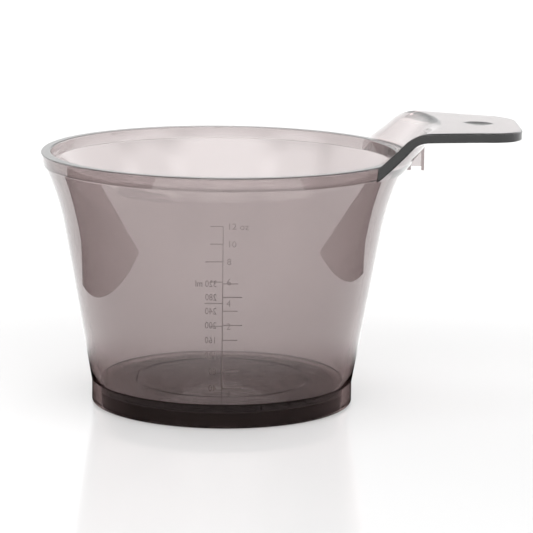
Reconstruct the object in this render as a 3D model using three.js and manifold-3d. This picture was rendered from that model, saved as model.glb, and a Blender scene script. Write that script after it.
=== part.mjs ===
// Hair dye mixing bowl: a smoky clear bowl with a flared rim, a raised thumb handle bonded to the rim,
// and a black soft base pressed up into the foot. Millimetres, +Z up.
// The origin is on the bowl's axis, on the surface that the bowl stands on. The handle points along +X.

import * as THREE from 'three';
import { mergeVertices } from 'three/addons/utils/BufferGeometryUtils.js';
import Module from 'manifold-3d';

const wasm = await Module();
wasm.setup();

// Bowl: rim
const RIM_RADIUS = 65;
const RIM_HEIGHT = 90.7;
const RIM_LAND = 3.5;
const RIM_EDGE_ROUND = 0.6;
const BAND_HEIGHT = 4.9;
const BAND_DRAFT = 0.8;
const BAND_STEP = 0.4;

// Bowl: wall, floor and foot
const WALL = 3;
const FLARE_START_HEIGHT = 62.5;
const FLARE_START_RADIUS = 56.5;
const FOOT_RADIUS = 46.8;
const FOOT_HEIGHT = 7.5;
const FOOT_WALL = 3.6;
const FOOT_EDGE = 0.4;
const FLOOR_HEIGHT = 8.4;
const FLOOR_THICKNESS = 2.8;
const FLOOR_FILLET = 1.2;

// Soft base
const PAD_PROUD = 0.4;
const PAD_CLEARANCE = 0.3;
const PAD_DISC = 2.4;
const PAD_WALL = 2.4;
const PAD_EDGE = 0.5;
const GRIP_RINGS = 3;
const GRIP_RING_WIDTH = 2;
const GRIP_RING_DEPTH = 0.6;
const GRIP_CENTRE_RADIUS = 12;

// Handle: section, seen along the rim
const SEAM_GAP = 0.3;
const HANDLE_RISE = 11;
const HANDLE_PLATE = 3.3;
const RAMP_ANGLE = THREE.MathUtils.degToRad(53.9);
const TONGUE_FALL = THREE.MathUtils.degToRad(1.5);
const BEND_RADIUS = 7.7;

// Handle: plan, seen from above
const ROOT_HALF_WIDTH = 38.2;
const TONGUE_HALF_WIDTH = 25.1;
const SIDE_SWEEP_RADIUS = 217;
const HANDLE_REACH = 40;
const TIP_CORNER_RADIUS = 14;
const DIMPLE_RADIUS = 5.4;
const DIMPLE_DEPTH = 0.5;
const DIMPLE_FROM_TIP = 13.8;

// Rim clip under the ramp: a foot, a post and the web between them, over a slot that takes a bowl's rim
const CLIP_SLOT_DEPTH = 1.2;
const CLIP_SLOT_CLEARANCE = 0.2;
const CLIP_SLOT_FROM_SEAM = 1.2;
const CLIP_BELOW_BAND = 1.1;
const CLIP_FOOT = 1.6;
const CLIP_POST = 1;
const CLIP_WIDTH = 6;
const CLIP_WEB = 2.4;

// Facets
const TURN_STEPS = 72;
const ARC_STEPS = 6;
const PLAN_STEPS = 24;
const DIMPLE_STEPS = 9;

// Sizes worked out from those above
const bandFoot = RIM_HEIGHT - BAND_HEIGHT;
const bandFootRadius = RIM_RADIUS - BAND_DRAFT;
const flareEndRadius = bandFootRadius - BAND_STEP;
const floorUnderside = FLOOR_HEIGHT - FLOOR_THICKNESS;
const footBore = FOOT_RADIUS - FOOT_WALL;
const padRadius = footBore - PAD_CLEARANCE;
const padTop = floorUnderside - PAD_CLEARANCE;
const handleRoot = RIM_RADIUS + SEAM_GAP;
const handleTop = RIM_HEIGHT + HANDLE_RISE;
const rampTopRadius = handleRoot + HANDLE_RISE / Math.tan(RAMP_ANGLE);
const tipX = RIM_RADIUS + HANDLE_REACH;
const point = (r, z) => new THREE.Vector2(r, z);

// Points of an arc about a centre, both ends included.
function arc(centre, radius, from, to, steps = ARC_STEPS) {
  return Array.from({ length: steps + 1 }, (_, i) => {
    const angle = from + ((to - from) * i) / steps;
    return point(centre.x + radius * Math.cos(angle), centre.y + radius * Math.sin(angle));
  });
}

// A closed solid turned about the Z axis from a profile of radius and height.
function turned(profile) {
  return new THREE.LatheGeometry(profile, TURN_STEPS).rotateX(Math.PI / 2);
}

// A prism that stands on a plan outline, between two heights.
function standing(shape, bottom, top) {
  const settings = { depth: top - bottom, bevelEnabled: false, curveSegments: PLAN_STEPS };
  return new THREE.ExtrudeGeometry(shape, settings).translate(0, 0, bottom);
}

// A plate of even width across Y, cut to an outline of X and Z.
function crosswise(outline, width) {
  const plate = new THREE.ExtrudeGeometry(new THREE.Shape(outline), { depth: width, bevelEnabled: false });
  return plate.rotateX(Math.PI / 2).translate(0, width / 2, 0);
}

// Three.js geometry as a closed solid that can be joined and cut.
function solid(geometry) {
  const bare = geometry.clone();
  bare.deleteAttribute('normal');
  bare.deleteAttribute('uv');
  const merged = mergeVertices(bare);
  const corners = merged.index.array;
  const faces = [];
  for (let i = 0; i < corners.length; i += 3) {
    const [a, b, c] = corners.slice(i, i + 3);
    if (a !== b && b !== c && c !== a) {
      faces.push(a, b, c);
    }
  }
  const mesh = new wasm.Mesh({
    numProp: 3,
    vertProperties: new Float32Array(merged.attributes.position.array),
    triVerts: new Uint32Array(faces),
  });
  return new wasm.Manifold(mesh);
}

// A solid back as three.js geometry, with flat-shaded facets.
function geometryOf(body) {
  const mesh = body.getMesh();
  const geometry = new THREE.BufferGeometry();
  geometry.setAttribute('position', new THREE.BufferAttribute(mesh.vertProperties, 3));
  geometry.setIndex(new THREE.BufferAttribute(mesh.triVerts, 1));
  const facets = geometry.toNonIndexed();
  facets.computeVertexNormals();
  return facets;
}

// The wall's outside: a straight taper up to the flare, then an arc that leaves the taper smoothly
// and ends at the step under the rim band.
const taperAngle = Math.atan2(FLARE_START_RADIUS - FOOT_RADIUS, FLARE_START_HEIGHT - FOOT_HEIGHT);
const flareOut = flareEndRadius - FLARE_START_RADIUS;
const flareUp = bandFoot - FLARE_START_HEIGHT;
const flareTurn = 2 * (Math.atan2(flareOut, flareUp) - taperAngle);
const flareRadius = Math.hypot(flareOut, flareUp) / (2 * Math.sin(flareTurn / 2));
const flareCentre = point(
  FLARE_START_RADIUS + flareRadius * Math.cos(taperAngle),
  FLARE_START_HEIGHT - flareRadius * Math.sin(taperAngle),
);

// The flare at some distance inside the outer wall, from its top down to its start.
function flare(inset) {
  const top = Math.PI - taperAngle - flareTurn;
  return arc(flareCentre, flareRadius + inset, top, Math.PI - taperAngle);
}

// Where the inside of the tapered wall is, at a height.
function innerWall(height) {
  const outer = FOOT_RADIUS + (height - FOOT_HEIGHT) * Math.tan(taperAngle);
  return outer - WALL / Math.cos(taperAngle);
}

// Bowl: one turned profile from the middle of the floor's underside, out over the foot and the wall,
// round the rim and back down the inside to the middle of the floor.
function bowlGeometry() {
  const filletTurn = Math.PI / 2 - taperAngle;
  const filletCentreHeight = FLOOR_HEIGHT + FLOOR_FILLET;
  const filletCentre = point(
    innerWall(filletCentreHeight) - FLOOR_FILLET / Math.cos(taperAngle),
    filletCentreHeight,
  );
  const roundHeight = RIM_HEIGHT - RIM_EDGE_ROUND;
  const outerRound = point(RIM_RADIUS - RIM_EDGE_ROUND, roundHeight);
  const innerRound = point(RIM_RADIUS - RIM_LAND + RIM_EDGE_ROUND, roundHeight);
  const profile = [
    point(0, floorUnderside),
    point(footBore, floorUnderside),
    point(footBore, PAD_PROUD),
    point(FOOT_RADIUS - FOOT_EDGE, PAD_PROUD),
    point(FOOT_RADIUS, PAD_PROUD + FOOT_EDGE),
    point(FOOT_RADIUS, FOOT_HEIGHT),
    ...flare(0).reverse(),
    point(bandFootRadius, bandFoot),
    ...arc(outerRound, RIM_EDGE_ROUND, 0, Math.PI / 2, 3),
    ...arc(innerRound, RIM_EDGE_ROUND, Math.PI / 2, Math.PI, 3),
    ...flare(WALL),
    ...arc(filletCentre, FLOOR_FILLET, -taperAngle, -taperAngle - filletTurn, 4),
    point(0, FLOOR_HEIGHT),
  ];
  return geometryOf(solid(turned(profile)));
}

// Soft base: a disc that stands proud of the foot, with an upstanding wall that lines the foot and
// bears on the floor, and grip rings moulded into the face that meets the table.
function padGeometry() {
  const ringSpan = (padRadius - PAD_WALL - GRIP_CENTRE_RADIUS) / GRIP_RINGS;
  const grip = Array.from({ length: GRIP_RINGS }, (_, i) => {
    const inner = GRIP_CENTRE_RADIUS + i * ringSpan;
    const outer = inner + GRIP_RING_WIDTH;
    return [point(inner, 0), point(inner, GRIP_RING_DEPTH), point(outer, GRIP_RING_DEPTH), point(outer, 0)];
  });
  const profile = [
    point(0, 0),
    ...grip.flat(),
    point(padRadius - PAD_EDGE, 0),
    point(padRadius, PAD_EDGE),
    point(padRadius, padTop),
    point(padRadius - PAD_WALL, padTop),
    point(padRadius - PAD_WALL, PAD_DISC),
    point(0, PAD_DISC),
  ];
  return geometryOf(solid(turned(profile)));
}

// Height of the ramp's straight underside at a distance from the bowl's axis. The ramp's root is as
// tall as the rim band.
function rampUnderside(radius) {
  return bandFoot + (radius - handleRoot) * Math.tan(RAMP_ANGLE);
}

// Height of the tongue at a distance from the bowl's axis, and at a depth below its top face.
function tongueHeight(radius, depth) {
  return handleTop - (radius - rampTopRadius) * Math.tan(TONGUE_FALL) - depth / Math.cos(TONGUE_FALL);
}

// The bend from the ramp to the tongue, rounded inside the corner where their lines meet.
function bend(corner, radius) {
  const setback = radius * Math.tan((RAMP_ANGLE + TONGUE_FALL) / 2);
  const centre = point(
    corner.x - setback * Math.cos(RAMP_ANGLE) + radius * Math.sin(RAMP_ANGLE),
    corner.y - setback * Math.sin(RAMP_ANGLE) - radius * Math.cos(RAMP_ANGLE),
  );
  return arc(centre, radius, Math.PI / 2 + RAMP_ANGLE, Math.PI / 2 - TONGUE_FALL);
}

// The handle's section turned about the bowl's axis: the ramp leaves the rim's top edge, rises along
// the rim's whole curve as a cone, and bends into a tongue that falls a little towards its tip. Its root
// follows the rim band's draft and ends level with the band's foot.
function handleSection() {
  const topCorner = point(rampTopRadius, handleTop);
  const apart = tongueHeight(handleRoot, HANDLE_PLATE) - bandFoot;
  const underRadius = handleRoot + apart / (Math.tan(RAMP_ANGLE) + Math.tan(TONGUE_FALL));
  const underCorner = point(underRadius, rampUnderside(underRadius));
  const beyondTip = Math.hypot(tipX, ROOT_HALF_WIDTH);
  const rootFoot = point(handleRoot - BAND_DRAFT, bandFoot);
  const outline = [
    rootFoot,
    point(handleRoot, bandFoot),
    ...bend(underCorner, BEND_RADIUS - HANDLE_PLATE),
    point(beyondTip, tongueHeight(beyondTip, HANDLE_PLATE)),
    point(beyondTip, tongueHeight(beyondTip, 0)),
    ...bend(topCorner, BEND_RADIUS).reverse(),
    point(handleRoot, RIM_HEIGHT),
    rootFoot,
  ];
  return solid(turned(outline));
}

// The handle's plan: sides that sweep in from the rim as hollow arcs, and a tip with rounded corners.
function handlePlan() {
  const root = point(Math.sqrt(handleRoot ** 2 - ROOT_HALF_WIDTH ** 2), ROOT_HALF_WIDTH);
  const cornerX = tipX - TIP_CORNER_RADIUS;
  const chord = point(cornerX, TONGUE_HALF_WIDTH).sub(root);
  const outward = point(-chord.y, chord.x).normalize();
  const offset = Math.sqrt(SIDE_SWEEP_RADIUS ** 2 - chord.lengthSq() / 4);
  const sweep = root.clone().addScaledVector(chord, 0.5).addScaledVector(outward, offset);
  const reach = SIDE_SWEEP_RADIUS + TIP_CORNER_RADIUS;
  const cornerY = sweep.y - Math.sqrt(reach ** 2 - (sweep.x - cornerX) ** 2);
  const cornerEnd = Math.atan2(sweep.y - cornerY, sweep.x - cornerX);
  const rootEnd = Math.atan2(sweep.y - root.y, sweep.x - root.x);
  const plan = new THREE.Shape();
  plan.moveTo(0, 0);
  plan.lineTo(root.x, -root.y);
  plan.absarc(sweep.x, -sweep.y, SIDE_SWEEP_RADIUS, Math.PI - rootEnd, Math.PI - cornerEnd, true);
  plan.absarc(cornerX, -cornerY, TIP_CORNER_RADIUS, -cornerEnd, 0, false);
  plan.absarc(cornerX, cornerY, TIP_CORNER_RADIUS, 0, cornerEnd, false);
  plan.absarc(sweep.x, sweep.y, SIDE_SWEEP_RADIUS, cornerEnd - Math.PI, rootEnd - Math.PI, true);
  return solid(standing(plan, 0, 2 * handleTop));
}

// Thumb dimple: what a ball would press out of the tongue's top face.
function dimpleBall() {
  const radius = (DIMPLE_RADIUS ** 2 + DIMPLE_DEPTH ** 2) / (2 * DIMPLE_DEPTH);
  const opening = 2 * Math.asin(DIMPLE_RADIUS / radius);
  const dimpleX = tipX - DIMPLE_FROM_TIP;
  const centre = point(0, tongueHeight(dimpleX, DIMPLE_DEPTH) + radius);
  const cap = arc(centre, radius, -Math.PI / 2, opening - Math.PI / 2, DIMPLE_STEPS);
  return solid(turned([...cap, point(0, cap.at(-1).y)]).translate(dimpleX, 0, 0));
}

// Rim clip: an outer post and an inner foot that reach down from the ramp, with a thin web between
// them. The slot under the web takes the rim of a second bowl.
function clipPieces() {
  const slotX = handleRoot + CLIP_SLOT_FROM_SEAM;
  const footX = slotX - CLIP_FOOT;
  const postX = slotX + RIM_LAND + CLIP_SLOT_CLEARANCE;
  const postEnd = postX + CLIP_POST;
  const bottom = bandFoot - CLIP_BELOW_BAND;
  const slotTop = bottom + CLIP_SLOT_DEPTH;
  const into = HANDLE_PLATE / 2;
  const ramp = (x) => point(x, rampUnderside(x) + into);
  const foot = [point(footX, bottom), point(slotX, bottom), ramp(slotX), ramp(footX)];
  const post = [point(postX, bottom), point(postEnd, bottom), ramp(postEnd), ramp(postX)];
  const midFoot = (footX + slotX) / 2;
  const midPost = (postX + postEnd) / 2;
  const web = [point(midFoot, slotTop), point(midPost, slotTop), ramp(midPost), ramp(midFoot)];
  return [
    solid(crosswise(foot, CLIP_WIDTH)),
    solid(crosswise(post, CLIP_WIDTH)),
    solid(crosswise(web, CLIP_WEB)),
  ];
}

// Handle: the turned section cut to its plan, with the dimple pressed in and the rim clip joined on below.
function handleGeometry() {
  let body = handleSection().intersect(handlePlan()).subtract(dimpleBall());
  for (const piece of clipPieces()) {
    body = body.add(piece);
  }
  return geometryOf(body);
}

function piece(name, geometry, finish) {
  const mesh = new THREE.Mesh(geometry, new THREE.MeshStandardMaterial(finish));
  mesh.name = name;
  return mesh;
}

const smokyClear = { color: 0x6f6261, roughness: 0.08, metalness: 0, transparent: true, opacity: 0.55 };
const softBlack = { color: 0x15110f, roughness: 0.6, metalness: 0 };

const mixingBowl = new THREE.Group();
mixingBowl.add(
  piece('bowl', bowlGeometry(), smokyClear),
  piece('handle', handleGeometry(), smokyClear),
  piece('base_pad', padGeometry(), softBlack),
);

export default mixingBowl;
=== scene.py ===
"""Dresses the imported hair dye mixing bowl: smoky clear bowl and handle, raised graduations, soft black base.

Lengths are in millimetres inside the classes and become metres where a mesh is made.
"""

import logging
import math
from dataclasses import dataclass, field
from enum import Enum
from typing import Iterable, Protocol, Sequence

import bmesh
import bpy
from mathutils import Matrix, Vector


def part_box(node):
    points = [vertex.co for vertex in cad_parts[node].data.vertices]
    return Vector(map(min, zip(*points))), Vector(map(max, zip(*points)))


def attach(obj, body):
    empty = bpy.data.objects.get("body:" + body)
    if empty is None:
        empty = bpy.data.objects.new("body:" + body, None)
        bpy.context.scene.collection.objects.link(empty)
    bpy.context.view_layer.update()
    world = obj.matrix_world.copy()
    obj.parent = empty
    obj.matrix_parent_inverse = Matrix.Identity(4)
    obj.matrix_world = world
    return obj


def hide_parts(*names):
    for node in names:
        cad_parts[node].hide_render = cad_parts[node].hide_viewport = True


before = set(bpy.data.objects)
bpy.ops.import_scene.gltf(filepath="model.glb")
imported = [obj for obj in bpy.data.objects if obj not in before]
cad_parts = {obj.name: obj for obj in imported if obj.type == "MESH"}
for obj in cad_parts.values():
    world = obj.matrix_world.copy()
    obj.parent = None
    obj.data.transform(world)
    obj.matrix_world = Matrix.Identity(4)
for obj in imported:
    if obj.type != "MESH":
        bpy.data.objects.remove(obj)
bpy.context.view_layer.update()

log = logging.getLogger("mixing_bowl")

MM = 0.001
CUBIC_MM_PER_ML = 1000
QUARTER_TURN = math.pi / 2
WHITE = (1, 1, 1, 1)
ROOT_BODY = "root"

Point = tuple[float, float]
Corner = tuple[float, float, float]
EdgePoint = tuple[Point, Point]  # a point of a plan, and the outward normal there


def linear(hex_colour: str) -> tuple[float, float, float, float]:
    """Turn an sRGB hex colour into the linear colour that shaders take.

    Args:
        hex_colour: Six hex digits, with or without a leading hash.

    Returns:
        Linear red, green and blue with an alpha of 1.
    """
    digits = hex_colour.lstrip("#")
    parts = [int(digits[i:i + 2], 16) / 255 for i in (0, 2, 4)]
    red, green, blue = (c / 12.92 if c <= 0.04045 else ((c + 0.055) / 1.055) ** 2.4 for c in parts)
    return red, green, blue, 1.0


def add_node(tree: bpy.types.NodeTree, kind: str, settings: dict | None = None,
             links: dict | None = None) -> bpy.types.Node:
    """Add a node to a tree, set it and link its inputs.

    Args:
        tree: The node tree that gets the node.
        kind: Blender's name of the node type.
        settings: Values by input name or number, or by the name of the node's own property.
        links: Output sockets by input name or number.

    Returns:
        The new node.
    """
    node = tree.nodes.new(kind)
    for name, value in (settings or {}).items():
        if isinstance(name, str) and hasattr(node, name):
            setattr(node, name, value)
        else:
            node.inputs[name].default_value = value
    for name, socket in (links or {}).items():
        tree.links.new(socket, node.inputs[name])
    return node


def new_material(name: str) -> tuple[bpy.types.Material, bpy.types.NodeTree, bpy.types.Node]:
    """Make an empty node material.

    Args:
        name: The material's name.

    Returns:
        The material, its node tree and its output node.
    """
    material = bpy.data.materials.new(name)
    material.use_nodes = True
    tree = material.node_tree
    tree.nodes.clear()
    return material, tree, add_node(tree, "ShaderNodeOutputMaterial")


@dataclass(frozen=True)
class SmokyClearPlastic:
    """Polished injection-moulded styrene acrylonitrile, tinted smoky grey-brown in the mass.

    The tint is in the plastic, so a thin wall looks pale, a double wall darker and a plate seen edge-on
    almost black. The polished tool leaves a clear, sharp gloss, and the flow of the melt a waviness too low
    to feel, which keeps mirrored edges from looking ruled.
    """

    name: str = "styrene_acrylonitrile_smoky_polished"
    ior: float = 1.57
    roughness: float = 0.0
    absorbed_per_mm: tuple[float, float, float] = (0.182, 0.216, 0.218)
    flow_mm: float = 16.0
    flow_depth_mm: float = 0.006
    shadow_passed: float = 0.96

    def material(self) -> bpy.types.Material:
        """Make the material: a faintly wavy dielectric skin round a volume that absorbs with depth.

        Returns:
            The material.
        """
        material, tree, output = new_material(self.name)
        place = add_node(tree, "ShaderNodeTexCoord")
        flow = add_node(tree, "ShaderNodeTexNoise", {"Scale": 1 / (self.flow_mm * MM), "Detail": 0.0},
                        {"Vector": place.outputs["Object"]})
        bump = add_node(tree, "ShaderNodeBump", {"Strength": 1.0, "Distance": self.flow_depth_mm * MM},
                        {"Height": flow.outputs["Fac"]})
        skin = add_node(tree, "ShaderNodeBsdfPrincipled", {
            "Base Color": WHITE, "Roughness": self.roughness, "IOR": self.ior,
            "Transmission Weight": 1.0,
        }, {"Normal": bump.outputs["Normal"]})
        strongest = max(self.absorbed_per_mm)
        passed = tuple(1 - share / strongest for share in self.absorbed_per_mm)
        tint = add_node(tree, "ShaderNodeVolumeAbsorption", {
            "Color": (*passed, 1.0), "Density": strongest / MM,
        })
        path = add_node(tree, "ShaderNodeLightPath")
        clear = add_node(tree, "ShaderNodeBsdfTransparent", {"Color": (*[self.shadow_passed] * 3, 1)})
        surface = add_node(tree, "ShaderNodeMixShader", None, {
            0: path.outputs["Is Shadow Ray"], 1: skin.outputs["BSDF"], 2: clear.outputs["BSDF"],
        })
        tree.links.new(surface.outputs["Shader"], output.inputs["Surface"])
        tree.links.new(tint.outputs["Volume"], output.inputs["Volume"])
        return material


@dataclass(frozen=True)
class FrostedRelief:
    """The same plastic where the tool was etched: raised marks that scatter light.

    They stop some of the light that passes the wall, so they are darker than the wall and a little lighter
    than the floor.
    """

    name: str = "styrene_acrylonitrile_frosted_marks"
    colour: str = "#aea6a4"
    roughness: float = 0.55
    cover: float = 0.85

    def material(self) -> bpy.types.Material:
        """Make the material: a matt skin that covers part of what lies behind.

        Returns:
            The material.
        """
        material, tree, output = new_material(self.name)
        skin = add_node(tree, "ShaderNodeBsdfPrincipled", {
            "Base Color": linear(self.colour), "Roughness": self.roughness, "Alpha": self.cover,
        })
        tree.links.new(skin.outputs["BSDF"], output.inputs["Surface"])
        return material


@dataclass(frozen=True)
class SoftBlackRubber:
    """Black thermoplastic rubber moulded in a spark-textured tool: matt, with a fine grain."""

    name: str = "thermoplastic_rubber_black_fine_grain"
    colour: str = "#1a100b"
    roughness: float = 0.62
    specular: float = 0.25
    grain_mm: float = 0.6
    grain_depth_mm: float = 0.03
    grain_detail: float = 3.0
    grain_strength: float = 0.6

    def material(self) -> bpy.types.Material:
        """Make the material: near black, with a grain that breaks its sheen.

        Returns:
            The material.
        """
        material, tree, output = new_material(self.name)
        place = add_node(tree, "ShaderNodeTexCoord")
        grain = add_node(tree, "ShaderNodeTexNoise", {
            "Scale": 1 / (self.grain_mm * MM), "Detail": self.grain_detail,
        }, {"Vector": place.outputs["Object"]})
        bump = add_node(tree, "ShaderNodeBump", {
            "Strength": self.grain_strength, "Distance": self.grain_depth_mm * MM,
        }, {"Height": grain.outputs["Fac"]})
        skin = add_node(tree, "ShaderNodeBsdfPrincipled", {
            "Base Color": linear(self.colour), "Roughness": self.roughness,
            "Specular IOR Level": self.specular,
        }, {"Normal": bump.outputs["Normal"]})
        tree.links.new(skin.outputs["BSDF"], output.inputs["Surface"])
        return material


def seen(tree: bpy.types.NodeTree, share: float) -> bpy.types.NodeSocket:
    """Give a share to camera, glossy and transmission rays, and nothing to the light itself.

    Args:
        tree: The node tree.
        share: The value for those rays.

    Returns:
        The socket with the value.
    """
    path = add_node(tree, "ShaderNodeLightPath")
    gloss = add_node(tree, "ShaderNodeMath", {"operation": "MAXIMUM"},
                     {0: path.outputs["Is Glossy Ray"], 1: path.outputs["Is Transmission Ray"]})
    every = add_node(tree, "ShaderNodeMath", {"operation": "MAXIMUM"},
                     {0: path.outputs["Is Camera Ray"], 1: gloss.outputs[0]})
    return add_node(tree, "ShaderNodeMath", {"operation": "MULTIPLY", 1: share},
                    {0: every.outputs[0]}).outputs[0]


@dataclass(frozen=True)
class WhiteAcrylicSheet:
    """Cast white acrylic with a polished face, for the table top: it mirrors softly what stands on it.

    A small lift, which lights nothing, makes it white to the eye, in gloss and through the plastic.
    """

    name: str = "acrylic_sheet_white_polished"
    colour: str = "#e0e0e0"
    roughness: float = 0.08
    ior: float = 1.5
    lift: float = 0.2

    def material(self) -> bpy.types.Material:
        """Make the material: a glossy pale skin with the lift added.

        Returns:
            The material.
        """
        material, tree, output = new_material(self.name)
        skin = add_node(tree, "ShaderNodeBsdfPrincipled", {
            "Base Color": linear(self.colour), "Roughness": self.roughness, "IOR": self.ior,
        })
        lift = add_node(tree, "ShaderNodeEmission", {"Color": WHITE}, {"Strength": seen(tree, self.lift)})
        surface = add_node(tree, "ShaderNodeAddShader", None, {0: skin.outputs["BSDF"], 1: lift.outputs[0]})
        tree.links.new(surface.outputs["Shader"], output.inputs["Surface"])
        return material


class Finish(Protocol):
    """What every finish offers."""

    name: str

    def material(self) -> bpy.types.Material:
        """Make the material."""


def coat(piece: bpy.types.Object, finish: Finish) -> None:
    """Give a piece its finish, whose material is made once and shared.

    Args:
        piece: The piece that changes.
        finish: The finish.
    """
    piece.data.materials.clear()
    piece.data.materials.append(bpy.data.materials.get(finish.name) or finish.material())


def arc(centre: Point, radius: float, start: float, end: float, steps: int) -> list[Point]:
    """Points of an arc, both ends included.

    Args:
        centre: The arc's centre.
        radius: Its radius.
        start: The first point's angle in radians.
        end: The last point's angle in radians.
        steps: How many straight steps stand for the arc.

    Returns:
        The points in order.
    """
    angles = (start + (end - start) * i / steps for i in range(steps + 1))
    return [(centre[0] + radius * math.cos(a), centre[1] + radius * math.sin(a)) for a in angles]


def between(first: Point, last: Point, steps: int) -> list[Point]:
    """Points inside a straight line, without its ends.

    Args:
        first: The line's start.
        last: The line's end.
        steps: How many steps the line is cut into.

    Returns:
        The points between the ends.
    """
    shares = (i / steps for i in range(1, steps))
    return [tuple(a + (b - a) * share for a, b in zip(first, last)) for share in shares]


def mesh_object(name: str, corners: Iterable[Corner], faces: Sequence[Sequence[int]],
                weld_mm: float = 1e-4) -> bpy.types.Object:
    """Make an object from corners in millimetres, welded, with its faces turned out.

    Args:
        name: The object's name.
        corners: Corner positions in millimetres.
        faces: Corner numbers of each face.
        weld_mm: Corners closer than this become one.

    Returns:
        The object, linked to the scene.
    """
    mesh = bpy.data.meshes.new(name)
    mesh.from_pydata([tuple(c * MM for c in corner) for corner in corners], [], faces)
    work = bmesh.new()
    work.from_mesh(mesh)
    bmesh.ops.remove_doubles(work, verts=work.verts, dist=weld_mm * MM)
    bmesh.ops.dissolve_degenerate(work, edges=work.edges, dist=weld_mm * MM)
    bmesh.ops.recalc_face_normals(work, faces=work.faces)
    work.to_mesh(mesh)
    work.free()
    made = bpy.data.objects.new(name, mesh)
    bpy.context.collection.objects.link(made)
    return made


def turned(name: str, profile: Sequence[Point], steps: int) -> bpy.types.Object:
    """Turn a profile of radius and height about the upright axis.

    Args:
        name: The object's name.
        profile: Radius and height in millimetres, from the axis to the axis.
        steps: Facets round the turn.

    Returns:
        The closed turned object.
    """
    corners = []
    for step in range(steps):
        turn = math.tau * step / steps
        corners += [(r * math.cos(turn), r * math.sin(turn), z) for r, z in profile]
    count = len(profile)
    faces = []
    for step in range(steps):
        here, there = step * count, (step + 1) % steps * count
        faces += [(here + i, there + i, there + i + 1, here + i + 1) for i in range(count - 1)]
    return mesh_object(name, corners, faces)


def bake(piece: bpy.types.Object) -> None:
    """Turn the modifiers of a piece into its mesh.

    Args:
        piece: The piece that changes.
    """
    graph = bpy.context.evaluated_depsgraph_get()
    result = bpy.data.meshes.new_from_object(piece.evaluated_get(graph))
    piece.modifiers.clear()
    old = piece.data
    result.name = old.name
    piece.data = result
    bpy.data.meshes.remove(old)


class Joining(Enum):
    """What a tool does to its target, as Blender names it."""

    ADD = "UNION"
    CUT = "DIFFERENCE"


def combine(target: bpy.types.Object, tool: bpy.types.Object, how: Joining) -> None:
    """Join a tool to a target or cut it away, and remove the tool.

    Args:
        target: The object that changes.
        tool: The closed object that is joined or cut away.
        how: Which of the two.
    """
    step = target.modifiers.new("combine", "BOOLEAN")
    step.operation = how.value
    step.solver = "MANIFOLD"
    step.object = tool
    bake(target)
    bpy.data.objects.remove(tool)


def smooth(piece: bpy.types.Object, sharp_degrees: float = 32, wide_weight: int = 80) -> None:
    """Shade a piece smooth, with its creases kept and its wide faces flat beside small roundings.

    Args:
        piece: The piece that changes.
        sharp_degrees: Faces that meet at more than this angle keep a crease.
        wide_weight: How much wide faces count against narrow ones, where 50 is neutral.
    """
    piece.data.shade_smooth()
    piece.data.set_sharp_from_angle(angle=math.radians(sharp_degrees))
    step = piece.modifiers.new("weigh", "WEIGHTED_NORMAL")
    step.keep_sharp = True
    step.weight = wide_weight
    bake(piece)


def settle(piece: bpy.types.Object, slot: str, *nodes: str) -> None:
    """Put a piece on the only body and hide the solids that it stands for.

    Args:
        piece: The finished piece.
        slot: Not used.
        nodes: The solids that it replaces, if any.
    """
    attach(piece, ROOT_BODY)
    if nodes:
        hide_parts(*nodes)
    log.info("%s: %d faces", piece.name, len(piece.data.polygons))


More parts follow.
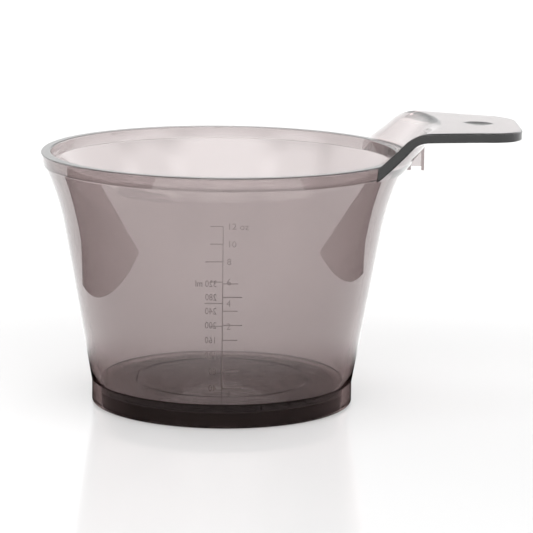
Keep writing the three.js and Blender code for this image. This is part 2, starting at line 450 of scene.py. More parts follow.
@dataclass
class Bowl:
    """The clear bowl: wall, flare, rim band, floor and foot.

    The floor has a fine ring round its middle. A hairline relief groove runs under the floor's edge, so that
    the foot's skirt stays clear where it is seen past the floor.
    """

    rim_radius: float
    rim_height: float
    foot_bottom: float
    rim_land: float = 3.5
    rim_round: float = 0.6
    band_height: float = 4.9
    band_draft: float = 0.8
    band_step: float = 0.4
    band_foot_round: float = 0.3
    wall: float = 3.0
    flare_start_height: float = 62.5
    flare_start_radius: float = 56.5
    foot_radius: float = 46.8
    foot_height: float = 7.5
    foot_wall: float = 3.6
    foot_edge: float = 0.4
    floor_height: float = 8.4
    floor_thickness: float = 2.8
    floor_fillet: float = 0.4
    ring_radius: float = 31.0
    ring_width: float = 1.0
    ring_depth: float = 0.5
    relief_width: float = 0.15
    relief_roof: float = 0.3
    turn_steps: int = 192
    wall_steps: int = 12
    flare_steps: int = 24
    round_steps: int = 6
    fill_step: float = 0.05
    finish: SmokyClearPlastic = SmokyClearPlastic()

    @classmethod
    def from_frame(cls) -> "Bowl":
        """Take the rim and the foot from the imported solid."""
        low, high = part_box("bowl")
        return cls(rim_radius=high[0] / MM, rim_height=high[2] / MM, foot_bottom=low[2] / MM)

    @property
    def band_foot(self) -> float:
        """Height of the rim band's lower edge."""
        return self.rim_height - self.band_height

    @property
    def taper(self) -> float:
        """Lean of the straight wall from upright, in radians."""
        out = self.flare_start_radius - self.foot_radius
        return math.atan2(out, self.flare_start_height - self.foot_height)

    @property
    def flare_end_radius(self) -> float:
        """Outer radius of the wall where it meets the rim band."""
        return self.rim_radius - self.band_draft - self.band_step

    def flare(self) -> tuple[Point, float, float]:
        """Work out the flare's arc, tangent to the taper.

        Returns:
            The arc's centre, its radius on the outside and how far it turns.
        """
        out = self.flare_end_radius - self.flare_start_radius
        up = self.band_foot - self.flare_start_height
        turn = 2 * (math.atan2(out, up) - self.taper)
        radius = math.hypot(out, up) / (2 * math.sin(turn / 2))
        centre = (self.flare_start_radius + radius * math.cos(self.taper),
                  self.flare_start_height - radius * math.sin(self.taper))
        return centre, radius, turn

    def surface_radius(self, height: float, inset: float = 0.0) -> float:
        """Radius of the wall at a height.

        Args:
            height: Height above the table.
            inset: Distance inside the outer face, 0 for the outside and the wall for the inside.

        Returns:
            The radius there.
        """
        centre, radius, _ = self.flare()
        along = radius + inset
        if height > centre[1] + along * math.sin(self.taper):
            rise = min(1.0, (height - centre[1]) / along)
            return centre[0] - along * math.sqrt(1 - rise * rise)
        outer = self.foot_radius + (height - self.foot_height) * math.tan(self.taper)
        return outer - inset / math.cos(self.taper)

    def height_of_volume(self, millilitres: float) -> float:
        """Height that a fill reaches inside the bowl.

        Args:
            millilitres: The fill.

        Returns:
            The height above the table.
        """
        height, filled = self.floor_height, 0.0
        while filled < millilitres * CUBIC_MM_PER_ML:
            radius = self.surface_radius(height + self.fill_step / 2, self.wall)
            filled += math.pi * radius * radius * self.fill_step
            height += self.fill_step
        return height

    def profile(self) -> list[Point]:
        """Profile of the whole moulding, from the floor's underside round to the floor's top.

        Returns:
            Radius and height of each point.
        """
        centre, radius, turn = self.flare()
        start, top = math.pi - self.taper, math.pi - self.taper - turn
        bore = self.foot_radius - self.foot_wall
        underside = self.floor_height - self.floor_thickness
        relief_top = self.floor_height - self.relief_roof
        round_height = self.rim_height - self.rim_round
        outer = (self.rim_radius - self.rim_round, round_height)
        inner = (self.rim_radius - self.rim_land + self.rim_round, round_height)
        band_radius = self.rim_radius - self.band_draft
        band_round = (band_radius - self.band_foot_round, self.band_foot + self.band_foot_round)
        fillet_height = self.floor_height + self.floor_fillet
        fillet_radius = (self.surface_radius(fillet_height, self.wall)
                         - self.floor_fillet / math.cos(self.taper))
        foot_round = (self.foot_radius - self.foot_edge, self.foot_bottom + self.foot_edge)
        flare_outside = arc(centre, radius, start, top, self.flare_steps)
        flare_inside = arc(centre, radius + self.wall, top, start, self.flare_steps)
        return [
            (0.0, underside), (bore - self.relief_width, underside),
            (bore - self.relief_width, relief_top), (bore, relief_top), (bore, self.foot_bottom),
            *arc(foot_round, self.foot_edge, -QUARTER_TURN, 0, self.round_steps),
            (self.foot_radius, self.foot_height),
            *between((self.foot_radius, self.foot_height), flare_outside[0], self.wall_steps),
            *flare_outside,
            *arc(band_round, self.band_foot_round, -QUARTER_TURN, 0, self.round_steps),
            *arc(outer, self.rim_round, 0, QUARTER_TURN, self.round_steps),
            *arc(inner, self.rim_round, QUARTER_TURN, 2 * QUARTER_TURN, self.round_steps),
            *flare_inside,
            *arc((fillet_radius, fillet_height), self.floor_fillet, -self.taper, -QUARTER_TURN,
                 self.round_steps),
            (self.ring_radius + self.ring_width / 2, self.floor_height),
            (self.ring_radius, self.floor_height - self.ring_depth),
            (self.ring_radius - self.ring_width / 2, self.floor_height),
            (0.0, self.floor_height),
        ]

    def build(self) -> bpy.types.Object:
        """Turn the bowl and shade it.

        Returns:
            The bowl, not yet dressed.
        """
        bowl = turned("clear_bowl", self.profile(), self.turn_steps)
        smooth(bowl)
        return bowl

    def dress(self, bowl: bpy.types.Object) -> None:
        """Give the bowl its plastic and settle it."""
        coat(bowl, self.finish)
        settle(bowl, "smoky_clear", "bowl")


@dataclass
class Handle:
    """The clear handle: a ramp that follows the rim, a tongue with a shallow dimple, and the rim clip."""

    bowl: Bowl
    top: float
    tip_x: float
    seam_gap: float = 0.3
    plate: float = 3.3
    ramp_degrees: float = 53.9
    fall_degrees: float = 1.5
    bend_radius: float = 7.7
    root_half_width: float = 38.2
    tongue_half_width: float = 25.1
    side_sweep: float = 217.0
    tip_corner: float = 14.0
    top_round: float = 0.6
    under_round: float = 0.3
    dimple_radius: float = 5.4
    dimple_depth: float = 0.5
    dimple_from_tip: float = 13.8
    clip_slot_depth: float = 1.2
    clip_slot_clearance: float = 0.2
    clip_slot_from_seam: float = 1.2
    clip_below_band: float = 1.1
    clip_foot: float = 1.6
    clip_post: float = 1.0
    clip_width: float = 6.0
    clip_web: float = 2.4
    edge_steps: int = 48
    corner_steps: int = 20
    tip_steps: int = 6
    round_steps: int = 5
    ramp_steps: int = 8
    bend_steps: int = 12
    tongue_steps: int = 4
    dimple_steps: int = 24
    dimple_turn_steps: int = 96
    finish: SmokyClearPlastic = SmokyClearPlastic()

    @classmethod
    def from_frame(cls, bowl: Bowl) -> "Handle":
        """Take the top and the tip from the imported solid."""
        _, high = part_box("handle")
        return cls(bowl=bowl, top=high[2] / MM, tip_x=high[0] / MM)

    @property
    def ramp(self) -> float:
        """Slope of the ramp in radians."""
        return math.radians(self.ramp_degrees)

    @property
    def fall(self) -> float:
        """Slope of the tongue down to its tip, in radians."""
        return math.radians(self.fall_degrees)

    @property
    def root(self) -> float:
        """Radius where the ramp's top face leaves the rim."""
        return self.bowl.rim_radius + self.seam_gap

    @property
    def rise(self) -> float:
        """Height above the rim of the corner where the lines of ramp and tongue meet."""
        setback = self.bend_radius * math.tan((self.ramp + self.fall) / 2)
        return self.top + setback * math.sin(self.fall) - self.bowl.rim_height

    def tongue_height(self, radius: float, depth: float) -> float:
        """Height of the tongue at a distance from the bowl's axis.

        Args:
            radius: Distance from the axis.
            depth: Distance below the top face.

        Returns:
            The height above the table.
        """
        past = radius - self.root - self.rise / math.tan(self.ramp)
        level = self.bowl.rim_height + self.rise
        return level - past * math.tan(self.fall) - depth / math.cos(self.fall)

    def ramp_height(self, radius: float, under: bool) -> float:
        """Height of the straight ramp at a distance from the bowl's axis.

        Args:
            radius: Distance from the axis.
            under: True for the underside, which starts level with the rim band's foot.

        Returns:
            The height above the table.
        """
        start = self.bowl.band_foot if under else self.bowl.rim_height
        return start + (radius - self.root) * math.tan(self.ramp)

    def bend(self, under: bool) -> tuple[Point, float]:
        """Work out the bend from the ramp to the tongue on one face.

        Args:
            under: True for the underside, False for the top face.

        Returns:
            The bend's centre as radius and height, and its radius.
        """
        depth = self.plate if under else 0.0
        apart = self.tongue_height(self.root, depth) - self.ramp_height(self.root, under)
        corner = self.root + apart / (math.tan(self.ramp) + math.tan(self.fall))
        radius = self.bend_radius - depth
        setback = radius * math.tan((self.ramp + self.fall) / 2)
        out = corner - setback * math.cos(self.ramp) + radius * math.sin(self.ramp)
        up = self.ramp_height(corner, under) - setback * math.sin(self.ramp) - radius * math.cos(self.ramp)
        return (out, up), radius

    def section_height(self, radius: float, under: bool) -> float:
        """Height of the plate's top face or underside at a distance from the bowl's axis.

        Args:
            radius: Distance from the axis.
            under: True for the underside, False for the top face.

        Returns:
            The height above the table.
        """
        centre, bend = self.bend(under)
        if radius >= centre[0] + bend * math.sin(self.fall):
            return self.tongue_height(radius, self.plate if under else 0.0)
        if radius > centre[0] - bend * math.sin(self.ramp):
            return centre[1] + math.sqrt(bend * bend - (radius - centre[0]) ** 2)
        return self.ramp_height(radius, under)

    def outline(self) -> list[EdgePoint]:
        """Plan of the handle's edge, from one end of the root round the tip to the other.

        Returns:
            Points with their outward normals.
        """
        root = Vector((math.sqrt(self.root ** 2 - self.root_half_width ** 2), self.root_half_width))
        corner_x = self.tip_x - self.tip_corner
        chord = Vector((corner_x, self.tongue_half_width)) - root
        outward = Vector((-chord.y, chord.x)).normalized()
        sweep = root + chord / 2 + outward * math.sqrt(self.side_sweep ** 2 - chord.length_squared / 4)
        reach = self.side_sweep + self.tip_corner
        corner_y = sweep.y - math.sqrt(reach ** 2 - (sweep.x - corner_x) ** 2)
        turn_root = math.atan2(sweep.y - root.y, sweep.x - root.x)
        turn_corner = math.atan2(sweep.y - corner_y, sweep.x - corner_x)
        half = []
        for i in range(self.edge_steps + 1):
            turn = turn_root + (turn_corner - turn_root) * i / self.edge_steps
            half.append(((sweep.x - self.side_sweep * math.cos(turn),
                          sweep.y - self.side_sweep * math.sin(turn)), turn))
        corner = arc((corner_x, corner_y), self.tip_corner, turn_corner, 0, self.corner_steps)
        half += [(p, turn_corner * (1 - i / self.corner_steps)) for i, p in enumerate(corner) if i]
        half += [(p, 0.0) for p in between(corner[-1], (self.tip_x, 0.0), self.tip_steps)]
        half = [(p, (math.cos(a), math.sin(a))) for p, a in half]
        other = [((x, -y), (nx, -ny)) for (x, y), (nx, ny) in reversed(half)]
        return half + [((self.tip_x, 0.0), (1.0, 0.0))] + other

    def stations(self, under: bool) -> list[float]:
        """Distances from the axis at which the plate's section is sampled, close together in the bend.

        Args:
            under: True for the underside, False for the top face.

        Returns:
            The distances, from the root to the end of the bend.
        """
        centre, bend = self.bend(under)
        turn = self.ramp + self.fall
        turns = [self.ramp - turn * i / self.bend_steps for i in range(self.bend_steps + 1)]
        curve = [centre[0] - bend * math.sin(a) for a in turns]
        length = curve[0] - self.root
        return [self.root + length * i / self.ramp_steps for i in range(self.ramp_steps)] + curve

    def reach_and_turn(self, point: EdgePoint, inset: float) -> Point:
        """Take a point of the plan inward, but no nearer to the axis than the root.

        Args:
            point: The point with its normal.
            inset: Distance inside the plan.

        Returns:
            Its distance from the axis, and its direction in radians.
        """
        (x, y), (nx, ny) = point
        px, py = x - inset * nx, y - inset * ny
        return max(math.hypot(px, py), self.root), math.atan2(py, px)

    def face_rings(self, edge: list[EdgePoint], inset: float, under: bool) -> list[list[Corner]]:
        """Rings of the top face or the underside, from the root out to its edge.

        Args:
            edge: The plan's points and normals.
            inset: Distance inside the plan at which the face ends.
            under: True for the underside, False for the top face.

        Returns:
            The rings, each with one corner for each point of the plan.
        """
        fixed = self.stations(under)
        last = fixed[-1]
        steps = self.tongue_steps
        rays = []
        for point in edge:
            reach, turn = self.reach_and_turn(point, inset)
            tail = [last + (max(reach, last) - last) * i / steps for i in range(1, steps + 1)]
            distances = [min(r, reach) for r in fixed + tail]
            rays.append([(r * math.cos(turn), r * math.sin(turn), self.section_height(r, under))
                         for r in distances])
        return [list(ring) for ring in zip(*rays)]

    def edge_ring(self, edge: list[EdgePoint], inset: float, under: bool, lift: float) -> list[Corner]:
        """One ring of corners along the handle's edge.

        Args:
            edge: The plan's points and normals.
            inset: Distance inside the plan.
            under: True for the underside, False for the top face.
            lift: Added height.

        Returns:
            The ring's corners.
        """
        ring = []
        for point in edge:
            reach, turn = self.reach_and_turn(point, inset)
            height = self.section_height(reach, under) + lift
            ring.append((reach * math.cos(turn), reach * math.sin(turn), height))
        return ring

    def build_plate(self) -> bpy.types.Object:
        """Make the plate: top face, rounded edge, side, underside and a root with the rim band's draft.

        Returns:
            The closed plate.
        """
        edge = self.outline()
        layers = self.face_rings(edge, self.top_round, False)
        for i in range(1, self.round_steps + 1):
            a = QUARTER_TURN * i / self.round_steps
            inset, drop = self.top_round * (1 - math.sin(a)), self.top_round * (1 - math.cos(a))
            layers.append(self.edge_ring(edge, inset, False, -drop))
        for i in range(self.round_steps + 1):
            a = QUARTER_TURN * i / self.round_steps
            inset, lift = self.under_round * (1 - math.cos(a)), self.under_round * (1 - math.sin(a))
            layers.append(self.edge_ring(edge, inset, True, lift))
        layers += reversed(self.face_rings(edge, self.under_round, True)[:-1])
        draft = 1 - self.bowl.band_draft / self.root
        layers.append([(x * draft, y * draft, z) for x, y, z in layers[-1]])
        layers.append(layers[0])
        corners = [corner for layer in layers for corner in layer]
        wide = len(edge)
        faces = []
        for k in range(len(layers) - 1):
            faces += [(k * wide + i, k * wide + i + 1, (k + 1) * wide + i + 1, (k + 1) * wide + i)
                      for i in range(wide - 1)]
        plate = mesh_object("clear_handle", corners, faces)
        work = bmesh.new()
        work.from_mesh(plate.data)
        bmesh.ops.holes_fill(work, edges=[e for e in work.edges if e.is_boundary])
        bmesh.ops.recalc_face_normals(work, faces=work.faces)
        work.to_mesh(plate.data)
        work.free()
        return plate

    def dimple_tool(self) -> bpy.types.Object:
        """Make the round-nosed cutter that sinks the dimple into the tongue.

        Returns:
            The cutter, in its place.
        """
        middle = self.tip_x - self.dimple_from_tip
        ball = (self.dimple_radius ** 2 + self.dimple_depth ** 2) / (2 * self.dimple_depth)
        centre = (0.0, self.tongue_height(middle, self.dimple_depth) + ball)
        opening = 2 * math.asin(self.dimple_radius / ball)
        cap = arc(centre, ball, -QUARTER_TURN, opening - QUARTER_TURN, self.dimple_steps)
        tool = turned("dimple_tool", [*cap, (0.0, cap[-1][1])], self.dimple_turn_steps)
        tool.data.transform(Matrix.Translation((middle * MM, 0, 0)))
        return tool

    def clip_tools(self) -> list[bpy.types.Object]:
        """Make the clip's foot, post and web, long enough to sink into the ramp.

        Returns:
            The three plates.
        """
        slot_x = self.root + self.clip_slot_from_seam
        foot_x = slot_x - self.clip_foot
        post_x = slot_x + self.bowl.rim_land + self.clip_slot_clearance
        post_end = post_x + self.clip_post
        bottom = self.bowl.band_foot - self.clip_below_band
        slot_top = bottom + self.clip_slot_depth
        spans = (
            ("clip_foot", foot_x, slot_x, bottom, self.clip_width),
            ("clip_post", post_x, post_end, bottom, self.clip_width),
            ("clip_web", (foot_x + slot_x) / 2, (post_x + post_end) / 2, slot_top, self.clip_web),
        )
        return [self.clip_plate(name, near, far, low, width) for name, near, far, low, width in spans]

    def clip_plate(self, name: str, near: float, far: float, low: float, width: float) -> bpy.types.Object:
        """Make one upright plate of the clip.

        Args:
            name: The plate's name.
            near: Its face nearest the bowl.
            far: Its face furthest from the bowl.
            low: Height of its lower edge.
            width: Its width across the handle.

        Returns:
            The plate, with its upper edge inside the ramp.
        """
        into = self.plate / 2
        half = width / 2
        tops = [self.section_height(x, True) + into for x in (near, far)]
        section = [(near, low), (far, low), (far, tops[1]), (near, tops[0])]
        corners = [(x, y, z) for y in (-half, half) for x, z in section]
        faces = [(0, 1, 2, 3), (7, 6, 5, 4), (0, 4, 5, 1), (1, 5, 6, 2), (2, 6, 7, 3), (3, 7, 4, 0)]
        return mesh_object(name, corners, faces)

    def build(self) -> bpy.types.Object:
        """Make the handle: the plate with its dimple cut and its clip joined on, shaded.

        Returns:
            The handle, not yet dressed.
        """
        handle = self.build_plate()
        combine(handle, self.dimple_tool(), Joining.CUT)
        for tool in self.clip_tools():
            combine(handle, tool, Joining.ADD)
        smooth(handle)
        return handle

    def dress(self, handle: bpy.types.Object) -> None:
        """Give the handle its plastic and settle it."""
        coat(handle, self.finish)
        settle(handle, "smoky_clear", "handle")


@dataclass
class BasePad:
    """The soft base: a disc with an upstanding wall that lines the foot, and grip rings underneath."""

    radius: float
    top: float
    bottom: float
    disc: float = 2.4
    wall: float = 2.4
    edge_round: float = 0.5
    grip_rings: int = 3
    grip_width: float = 2.0
    grip_depth: float = 0.6
    grip_centre: float = 12.0
    round_steps: int = 5
    turn_steps: int = 144
    finish: SoftBlackRubber = SoftBlackRubber()

    @classmethod
    def from_frame(cls) -> "BasePad":
        """Take the pad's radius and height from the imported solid."""
        low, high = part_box("base_pad")
        return cls(radius=high[0] / MM, top=high[2] / MM, bottom=low[2] / MM)

    def profile(self) -> list[Point]:
        """Profile from the middle of the underside round to the middle of the disc's top.

        Returns:
            Radius and height of each point.
        """
        span = (self.radius - self.wall - self.grip_centre) / self.grip_rings
        points = [(0.0, self.bottom)]
        for i in range(self.grip_rings):
            inner = self.grip_centre + i * span
            outer = inner + self.grip_width
            floor = self.bottom + self.grip_depth
            points += [(inner, self.bottom), (inner, floor), (outer, floor), (outer, self.bottom)]
        inside = self.radius - self.wall
        low = (self.radius - self.edge_round, self.bottom + self.edge_round)
        high = (self.radius - self.edge_round, self.top - self.edge_round)
        points += arc(low, self.edge_round, -QUARTER_TURN, 0, self.round_steps)
        points += arc(high, self.edge_round, 0, QUARTER_TURN, self.round_steps)
        points += [(inside, self.top), (inside, self.bottom + self.disc), (0.0, self.bottom + self.disc)]
        return points

    def build(self) -> bpy.types.Object:
        """Turn the pad and shade it.

        Returns:
            The pad, not yet dressed.
        """
        pad = turned("soft_base", self.profile(), self.turn_steps)
        smooth(pad)
        return pad

    def dress(self, pad: bpy.types.Object) -> None:
        """Give the pad its rubber and settle it."""
        coat(pad, self.finish)
        settle(pad, "soft_black", "base_pad")


class Unit(Enum):
    """The two units of the graduations, with the millilitres in one of each.

    The ounce is the imperial one, which fits the spacing of the marks.
    """

    MILLILITRE = ("ml", 1.0)
    FLUID_OUNCE = ("oz", 28.41)

    @property
    def mark(self) -> str:
        """The letters beside the top mark."""
        return self.value[0]

    @property
    def millilitres(self) -> float:
        """Millilitres in one of the unit."""
        return self.value[1]


class Side(Enum):
    """The side of the bowl whose inner face a scale stands on, as the sign of Y there."""

    FRONT = -1
    BACK = 1


@dataclass
class Graduations:
    """A scale of raised marks inside the wall: an upright line, ticks on its left, numbers on its right.

    It reads from inside the bowl, so from outside the near scale shows mirrored and the far one doesn't.
    """

    bowl: Bowl
    name: str
    unit: Unit
    side: Side
    values: tuple[int, ...]
    long_values: tuple[int, ...]
    short_tick: float
    long_tick: float
    squeeze: float = 1.0
    line_width: float = 0.35
    number_height: float = 2.4
    number_gap: float = 1.9
    relief: float = 0.18
    stand_off: float = 0.01
    line_steps: int = 24
    font_steps: int = 3
    finish: FrostedRelief = FrostedRelief()
    corners: list[Corner] = field(default_factory=list)
    faces: list[tuple[int, ...]] = field(default_factory=list)

    def on_wall(self, along: float, height: float, proud: float) -> Corner:
        """Place a point of the scale on the wall.

        Args:
            along: Distance from the scale's line in the reading direction.
            height: Height above the table.
            proud: Distance out of the face, towards the axis.

        Returns:
            The point in the bowl's frame.
        """
        face = self.bowl.surface_radius(height, self.bowl.wall)
        turn = self.side.value * along / face
        radius = face - proud
        return radius * math.sin(turn), self.side.value * radius * math.cos(turn), height

    def add_bar(self, left: float, right: float, low: float, high: float, steps: int = 1) -> None:
        """Add a straight raised bar.

        Args:
            left: Its start along the reading direction.
            right: Its end.
            low: Its lower height.
            high: Its upper height.
            steps: Pieces up its height, so that a tall bar follows the wall.
        """
        first = len(self.corners)
        for i in range(steps + 1):
            height = low + (high - low) * i / steps
            for proud in (self.stand_off, self.stand_off + self.relief):
                self.corners += [self.on_wall(left, height, proud), self.on_wall(right, height, proud)]
        for i in range(steps):
            a, b = first + 4 * i, first + 4 * i + 4
            self.faces += [(a, a + 1, b + 1, b), (a + 2, b + 2, b + 3, a + 3),
                           (a, b, b + 2, a + 2), (a + 1, a + 3, b + 3, b + 1)]
        last = first + 4 * steps
        self.faces += [(first, first + 2, first + 3, first + 1), (last, last + 1, last + 3, last + 2)]

    def add_text(self, text: str, height: float) -> None:
        """Add a raised number beside the line.

        Args:
            text: What it says.
            height: Height of its middle.
        """
        half_depth = 0.5
        curve = bpy.data.curves.new("number", "FONT")
        curve.body = text
        curve.size = 1.0
        curve.extrude = half_depth
        curve.resolution_u = self.font_steps
        holder = bpy.data.objects.new("number", curve)
        bpy.context.collection.objects.link(holder)
        graph = bpy.context.evaluated_depsgraph_get()
        mesh = bpy.data.meshes.new_from_object(holder.evaluated_get(graph))
        digits = [v.co.y for v in mesh.vertices]
        size = self.number_height / (max(digits) - min(min(digits), 0.0))
        middle = (max(digits) + min(digits)) / 2
        first = len(self.corners)
        for v in mesh.vertices:
            proud = self.stand_off + self.relief * (v.co.z + half_depth)
            along = self.number_gap + v.co.x * size * self.squeeze
            self.corners.append(self.on_wall(along, height + (v.co.y - middle) * size, proud))
        self.faces += [tuple(first + i for i in face.vertices) for face in mesh.polygons]
        bpy.data.objects.remove(holder)
        bpy.data.curves.remove(curve)
        bpy.data.meshes.remove(mesh)

    def build(self) -> bpy.types.Object:
        """Lay out the line, the ticks and the numbers.

        Returns:
            The marks as one piece, not yet dressed.
        """
        heights = {v: self.bowl.height_of_volume(v * self.unit.millilitres) for v in self.values}
        half = self.line_width / 2
        self.add_bar(-half, half, min(heights.values()), max(heights.values()), self.line_steps)
        for value, height in heights.items():
            reach = self.long_tick if value in self.long_values else self.short_tick
            self.add_bar(-reach, 0.0, height - half, height + half)
            suffix = f" {self.unit.mark}" if value == max(self.values) else ""
            self.add_text(f"{value}{suffix}", height)
        return mesh_object(self.name, self.corners, self.faces)

    def dress(self, marks: bpy.types.Object) -> None:
        """Give the marks their frosted plastic and settle them."""
        coat(marks, self.finish)
        settle(marks, "smoky_clear")


@dataclass(frozen=True)
class Softbox:
    """One rectangular studio lamp with a white cloth in front.

    Args:
        name: The lamp's name.
        place: Where it hangs, in millimetres.
        aim: What it points at, in millimetres.
        size: Its width and height in millimetres.
        radiance: How bright its cloth looks, where 1 is the white of the backdrop.
        soft: Whether the cloth grows dimmer toward its edges.
        fade: Where it starts to grow dimmer and where it ends, as shares of the cloth from its middle.
    """

    name: str
    place: Corner
    aim: Corner
    size: Point
    radiance: float
    soft: bool = False
    fade: Point = (0.2, 0.5)

    def soften(self, light: bpy.types.Light) -> None:
        """Let the cloth fade from a bright middle to dark edges.

        Args:
            light: The lamp's light.
        """
        light.use_nodes = True
        tree = light.node_tree
        tree.nodes.clear()
        middle = (0.5, 0.5, 0.0)
        cloth = add_node(tree, "ShaderNodeNewGeometry")
        off = add_node(tree, "ShaderNodeVectorMath", {"operation": "DISTANCE", 1: middle},
                       {0: cloth.outputs["Parametric"]})
        fade = add_node(tree, "ShaderNodeMapRange", {
            "interpolation_type": "SMOOTHSTEP", "From Min": self.fade[1], "From Max": self.fade[0],
        }, {"Value": off.outputs["Value"]})
        glow = add_node(tree, "ShaderNodeEmission", None, {"Strength": fade.outputs["Result"]})
        add_node(tree, "ShaderNodeOutputLight", None, {"Surface": glow.outputs[0]})

    def build(self) -> None:
        """Hang the lamp."""
        light = bpy.data.lights.new(self.name, "AREA")
        light.shape = "RECTANGLE"
        light.size, light.size_y = self.size[0] * MM, self.size[1] * MM
        light.energy = self.radiance * math.pi * light.size * light.size_y
        if self.soft:
            self.soften(light)
        lamp = bpy.data.objects.new(self.name, light)
        bpy.context.collection.objects.link(lamp)
        start, end = Vector(self.place) * MM, Vector(self.aim) * MM
        lamp.location = start
        lamp.rotation_euler = (end - start).to_track_quat("-Z", "Y").to_euler()


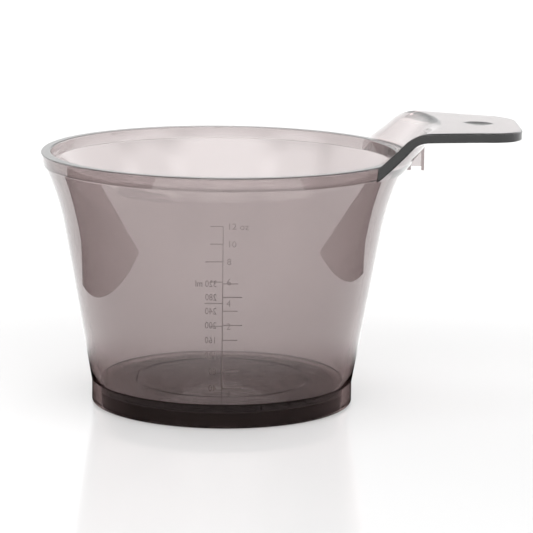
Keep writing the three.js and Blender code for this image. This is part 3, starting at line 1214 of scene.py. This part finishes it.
@dataclass
class Studio:
    """White studio: glossy white table, white surround, softboxes and the camera.

    The levels of the surround are what it gives as a light, what gloss and plastic show of it high up, and
    its white.
    """

    camera_distance: float = 977.773
    camera_height: float = 234.819
    camera_pitch: float = 0.1880216
    camera_yaw: float = 0.0160077
    camera_roll: float = 0.0123237
    focal_pixels: float = 2773.72
    frame_pixels: float = 533.0
    sensor_mm: float = 36.0
    clip_metres: Point = (0.01, 50.0)
    table_size: float = 6000.0
    table_drop: float = 0.02
    card_low: Point = (-900.0, -1300.0)
    card_high: Point = (900.0, 700.0)
    # painted reflection: the white card glows brighter than white, shows only in gloss and lights nothing
    card_glow: float = 1.5
    board_left: float = -139.0
    board_right: float = 157.0
    board_back: float = 92.0
    board_gap: float = 0.3
    board_reach: float = 420.0
    # painted dark reflections: the side boards glow faintly and show only in gloss
    board_glow: float = 0.03
    # painted shadow: distances from the axis over which the card's glow rises from dark at the foot to full
    shade: Point = (70.0, 110.0)
    backdrop_top: Point = (0.19, 0.23)
    levels: Corner = (0.2, 0.8, 1.0)
    aim: Corner = (0.0, 0.0, 50.0)
    table_finish: WhiteAcrylicSheet = WhiteAcrylicSheet()

    def camera(self) -> None:
        """Put the camera where the rim, floor and foot circles say that it stood."""
        pitch, yaw, roll = self.camera_pitch, self.camera_yaw, self.camera_roll
        ahead = Vector((math.sin(yaw) * math.cos(pitch), math.cos(yaw) * math.cos(pitch), -math.sin(pitch)))
        right = Vector((math.cos(yaw), -math.sin(yaw), 0.0))
        up = right.cross(ahead)
        rolled_right = math.cos(roll) * right + math.sin(roll) * up
        rolled_up = -math.sin(roll) * right + math.cos(roll) * up
        lens = bpy.data.cameras.new("camera")
        lens.sensor_width = self.sensor_mm
        lens.lens = self.focal_pixels * self.sensor_mm / self.frame_pixels
        lens.clip_start, lens.clip_end = self.clip_metres
        camera = bpy.data.objects.new("camera", lens)
        bpy.context.collection.objects.link(camera)
        turn = Matrix((rolled_right, rolled_up, -ahead)).transposed().to_4x4()
        place = Vector((0.0, -self.camera_distance, self.camera_height)) * MM
        camera.matrix_world = Matrix.Translation(place) @ turn
        bpy.context.scene.camera = camera

    def slab(self, name: str, low: Point, high: Point, height: float) -> bpy.types.Object:
        """Lay a flat rectangle that belongs to the studio.

        Args:
            name: Its name.
            low: Its least X and Y in millimetres.
            high: Its greatest X and Y in millimetres.
            height: Its height in millimetres.

        Returns:
            The rectangle.
        """
        corners = [(low[0], low[1]), (high[0], low[1]), (high[0], high[1]), (low[0], high[1])]
        mesh = bpy.data.meshes.new(name)
        mesh.from_pydata([(x * MM, y * MM, height * MM) for x, y in corners], [], [(0, 1, 2, 3)])
        slab = bpy.data.objects.new(name, mesh)
        bpy.context.collection.objects.link(slab)
        return slab

    def table(self) -> None:
        """Lay the glossy white table top."""
        half = self.table_size / 2
        coat(self.slab("table", (-half, -half), (half, half), -self.table_drop), self.table_finish)

    def card(self, name: str, low: Point, high: Point, height: float, glow: Point) -> None:
        """Lay a glowing card that only the gloss of the plastic shows, a painted reflection, dimmer near the
        bowl's foot as a painted shadow.

        Args:
            name: Its name.
            low: Its least X and Y in millimetres.
            high: Its greatest X and Y in millimetres.
            height: Its height in millimetres.
            glow: How bright it looks at the foot, in the painted shadow, and away from the foot.
        """
        material, tree, output = new_material(name)
        place = add_node(tree, "ShaderNodeNewGeometry")
        off = add_node(tree, "ShaderNodeVectorMath", {"operation": "LENGTH"}, {0: place.outputs["Position"]})
        # painted shadow: the card's glow falls off toward the bowl's foot
        fade = add_node(tree, "ShaderNodeMapRange", {
            "interpolation_type": "SMOOTHSTEP",
            "From Min": self.shade[0] * MM, "From Max": self.shade[1] * MM,
            "To Min": glow[0], "To Max": glow[1],
        }, {"Value": off.outputs["Value"]})
        skin = add_node(tree, "ShaderNodeEmission", None, {"Strength": fade.outputs["Result"]})
        clear = add_node(tree, "ShaderNodeBsdfTransparent")
        surface = add_node(tree, "ShaderNodeMixShader", None, {
            0: place.outputs["Backfacing"], 1: skin.outputs[0], 2: clear.outputs["BSDF"],
        })
        tree.links.new(surface.outputs["Shader"], output.inputs["Surface"])
        card = self.slab(name, low, high, height)
        card.data.materials.append(material)
        card.visible_camera = False
        card.visible_diffuse = False
        card.visible_transmission = False
        card.visible_shadow = False

    def cards(self) -> None:
        """Lay the white card and the dark boards on it at both sides of the bowl: painted reflections, bright
        and dark, that only gloss shows.
        """
        reach, back, gap = self.board_reach, self.board_back, self.board_gap
        dark = (self.board_glow, self.board_glow)
        # painted reflection card, with its painted shadow near the foot
        self.card("painted_reflection_card", self.card_low, self.card_high, gap, (0.0, self.card_glow))
        # painted dark reflections at both sides of the bowl
        self.card("painted_dark_reflection_left", (-reach, -reach), (self.board_left, back), 2 * gap, dark)
        self.card("painted_dark_reflection_right", (self.board_right, -reach), (reach, back), 2 * gap, dark)

    def surround(self) -> None:
        """Make the surround white to the eye, in gloss and through the plastic, and softer as a light."""
        world = bpy.data.worlds.new("surround")
        bpy.context.scene.world = world
        world.use_nodes = True
        tree = world.node_tree
        tree.nodes.clear()
        output = add_node(tree, "ShaderNodeOutputWorld")
        path = add_node(tree, "ShaderNodeLightPath")
        place = add_node(tree, "ShaderNodeTexCoord")
        height = add_node(tree, "ShaderNodeSeparateXYZ", None, {0: place.outputs["Generated"]})
        low = add_node(tree, "ShaderNodeMapRange", {
            "interpolation_type": "SMOOTHSTEP",
            "From Min": self.backdrop_top[1], "From Max": self.backdrop_top[0],
        }, {"Value": height.outputs["Z"]})
        backdrop = add_node(tree, "ShaderNodeMath", {"operation": "MAXIMUM"},
                            {0: path.outputs["Is Camera Ray"], 1: low.outputs["Result"]})
        soft, dim, white = (add_node(tree, "ShaderNodeBackground", {"Color": WHITE, "Strength": level})
                            for level in self.levels)
        shown = add_node(tree, "ShaderNodeMixShader", None, {
            0: backdrop.outputs[0], 1: dim.outputs[0], 2: white.outputs[0],
        })
        mix = add_node(tree, "ShaderNodeMixShader", None, {
            0: seen(tree, 1.0), 1: soft.outputs[0], 2: shown.outputs[0],
        })
        tree.links.new(mix.outputs[0], output.inputs["Surface"])

    def lamps(self) -> None:
        """Hang the softboxes overhead, in front, at the sides and front corners, and a dim back panel."""
        boxes = (
            Softbox("overhead", (0.0, 0.0, 1200.0), self.aim, (400.0, 400.0), 3.0),
            Softbox("front", (0.0, -1250.0, 900.0), self.aim, (2800.0, 1500.0), 3.0, True),
            Softbox("left", (-980.0, 820.0, 680.0), self.aim, (3600.0, 1100.0), 1.6, True),
            Softbox("right", (1130.0, 530.0, 560.0), self.aim, (3600.0, 1000.0), 1.9, True),
            Softbox("front_left", (-1080.0, -750.0, 620.0), self.aim, (1700.0, 1000.0), 2.2, True),
            Softbox("front_right", (1080.0, -750.0, 620.0), self.aim, (1700.0, 1000.0), 2.2, True),
            Softbox("back_panel", (0.0, 2900.0, 290.0), (0.0, 0.0, 290.0), (5000.0, 560.0), 0.25),
        )
        for box in boxes:
            box.build()

    def build(self) -> None:
        """Set up the camera, the table, the surround, the lamps and the plain view transform."""
        bpy.context.scene.view_settings.view_transform = "Standard"
        self.camera()
        self.table()
        self.cards()
        self.surround()
        self.lamps()


def main() -> None:
    """Build and dress the pieces in order."""
    logging.basicConfig(level=logging.INFO, format="%(name)s: %(message)s")
    Studio().build()
    bowl = Bowl.from_frame()
    bowl.dress(bowl.build())
    handle = Handle.from_frame(bowl)
    handle.dress(handle.build())
    pad = BasePad.from_frame()
    pad.dress(pad.build())
    scales = (
        Graduations(bowl, "millilitre_scale", Unit.MILLILITRE, Side.FRONT,
                    (40, 80, 120, 160, 200, 240, 280, 320), (40, 120, 200, 280), 5.1, 6.6, squeeze=0.78),
        Graduations(bowl, "ounce_scale", Unit.FLUID_OUNCE, Side.BACK,
                    (2, 4, 6, 8, 10, 12), (4, 8), 4.9, 6.9, squeeze=1.1, number_gap=1.5),
    )
    for scale in scales:
        scale.dress(scale.build())


if __name__ == "__main__":
    main()
